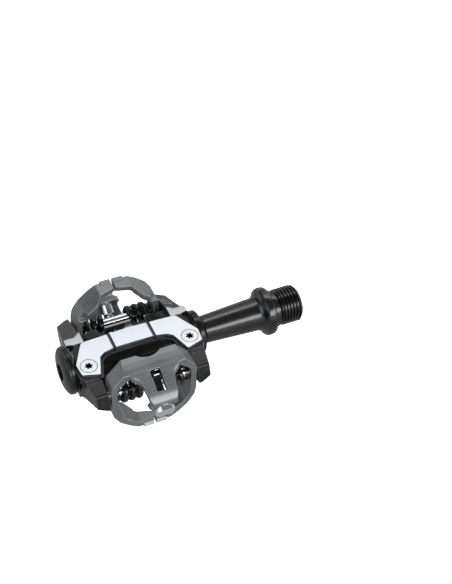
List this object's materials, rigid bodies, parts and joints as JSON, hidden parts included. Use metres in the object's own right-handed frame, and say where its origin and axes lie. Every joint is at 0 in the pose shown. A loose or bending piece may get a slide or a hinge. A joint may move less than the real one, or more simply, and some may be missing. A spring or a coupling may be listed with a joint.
{
  "type": "clipless pedal",
  "caption": "Double-sided clipless bicycle pedal with sprung steel jaws, bright contact plates and a threaded black spindle.",
  "frame": {"origin": "centre of the spindle's crank seat, the flat face of the flange that tightens against the crank arm", "axes": "+X along the spindle, out of the threaded end towards the crank; +Y towards the front jaw of the upper side; +Z square to the upper contact plate"},
  "size_m": [0.0955, 0.0682, 0.0332],
  "materials": {
    "spindle_black": "gloss black, hard coated steel",
    "body_black": "gloss black powder coat on cast aluminium",
    "plate_steel": "bright satin stainless steel",
    "screw_zinc": "bright zinc plated steel",
    "pin_steel": "polished ground steel",
    "jaw_steel": "satin gun-metal coating on cast steel",
    "spring_black": "gloss black coated spring steel",
    "bearing_steel": "ground bearing steel",
    "cage_polymer": "moulded nylon",
    "bush_bronze": "sintered bronze",
    "seal_rubber": "matt nitrile rubber",
    "cap_plastic": "semi-gloss black moulding",
    "nut_steel": "plain steel"
  },
  "bodies": {
    "spindle": {"spindle": "spindle_black", "spindle_lock_nut": "nut_steel", "lock_washer": "nut_steel", "bearing_spacer": "nut_steel", "outboard_bearing_inner_race": "bearing_steel", "middle_bearing_inner_race": "bearing_steel"},
    "pedal": {"pedal_body": "body_black", "top_contact_plate": "plate_steel", "bottom_contact_plate": "plate_steel", "top_plate_screws": "screw_zinc", "bottom_plate_screws": "screw_zinc", "end_cap": "cap_plastic", "end_cap_o_ring": "seal_rubber", "spindle_seal": "seal_rubber", "seal_retainer": "cap_plastic", "inboard_bush": "bush_bronze", "outboard_bearing_outer_race": "bearing_steel", "middle_bearing_outer_race": "bearing_steel", "rear_jaw_pin": "pin_steel", "front_jaw_pin": "pin_steel", "rear_spring_washers": "spring_black", "front_spring_washers": "spring_black", "rear_inboard_spring": "spring_black", "rear_outboard_spring": "spring_black", "front_inboard_spring": "spring_black", "front_outboard_spring": "spring_black"},
    "outboard_cage": {"outboard_bearing_cage": "cage_polymer", "outboard_bearing_balls": "bearing_steel"},
    "middle_cage": {"middle_bearing_cage": "cage_polymer", "middle_bearing_balls": "bearing_steel"},
    "rear_jaw": {"rear_jaw": "jaw_steel"},
    "rear_screw": {"rear_tension_screw": "screw_zinc"},
    "rear_nut": {"rear_tension_nut": "nut_steel"},
    "front_jaw": {"front_jaw": "jaw_steel"},
    "front_screw": {"front_tension_screw": "screw_zinc"},
    "front_nut": {"front_tension_nut": "nut_steel"}
  },
  "joints": [
    {"name": "pedal_spin", "type": "hinge", "parent": "spindle", "child": "pedal", "pos_m": [-0.0555, 0, 0], "axis": [1, 0, 0], "continuous": true},
    {"name": "outboard_cage_spin", "type": "hinge", "parent": "spindle", "child": "outboard_cage", "pos_m": [-0.074, 0, 0], "axis": [1, 0, 0], "continuous": true},
    {"name": "middle_cage_spin", "type": "hinge", "parent": "spindle", "child": "middle_cage", "pos_m": [-0.0685, 0, 0], "axis": [1, 0, 0], "continuous": true},
    {"name": "rear_jaw_hinge", "type": "hinge", "parent": "pedal", "child": "rear_jaw", "pos_m": [-0.0555, -0.0182, 0.0019], "axis": [1, 0, 0], "range_deg": [0, 18], "stiffness_Nm_per_rad": 0.5, "springref_deg": -2.29, "deforming": ["rear_inboard_spring", "rear_outboard_spring"]},
    {"name": "rear_screw_turn", "type": "hinge", "parent": "rear_jaw", "child": "rear_screw", "pos_m": [-0.0555, -0.0301, 0.00177], "axis": [0, -0.8829, -0.4695], "range_deg": [0, 540]},
    {"name": "rear_nut_slide", "type": "slide", "parent": "rear_jaw", "child": "rear_nut", "axis": [0, 0.8829, 0.4695], "range_m": [0, 0.00105]},
    {"name": "front_jaw_hinge", "type": "hinge", "parent": "pedal", "child": "front_jaw", "pos_m": [-0.0555, 0.0182, -0.0019], "axis": [1, 0, 0], "range_deg": [0, 18], "stiffness_Nm_per_rad": 0.5, "springref_deg": -2.29, "deforming": ["front_inboard_spring", "front_outboard_spring"]},
    {"name": "front_screw_turn", "type": "hinge", "parent": "front_jaw", "child": "front_screw", "pos_m": [-0.0555, 0.0301, -0.00177], "axis": [0, 0.8829, 0.4695], "range_deg": [0, 540]},
    {"name": "front_nut_slide", "type": "slide", "parent": "front_jaw", "child": "front_nut", "axis": [0, -0.8829, -0.4695], "range_m": [0, 0.00105]}
  ],
  "couplings": [
    {"joint": "outboard_cage_spin", "follows": "pedal_spin", "ratio": 0.6059},
    {"joint": "middle_cage_spin", "follows": "pedal_spin", "ratio": 0.6059},
    {"joint": "rear_screw_turn", "follows": "rear_nut_slide", "rad_per_m": 8976},
    {"joint": "front_screw_turn", "follows": "front_nut_slide", "rad_per_m": 8976}
  ]
}
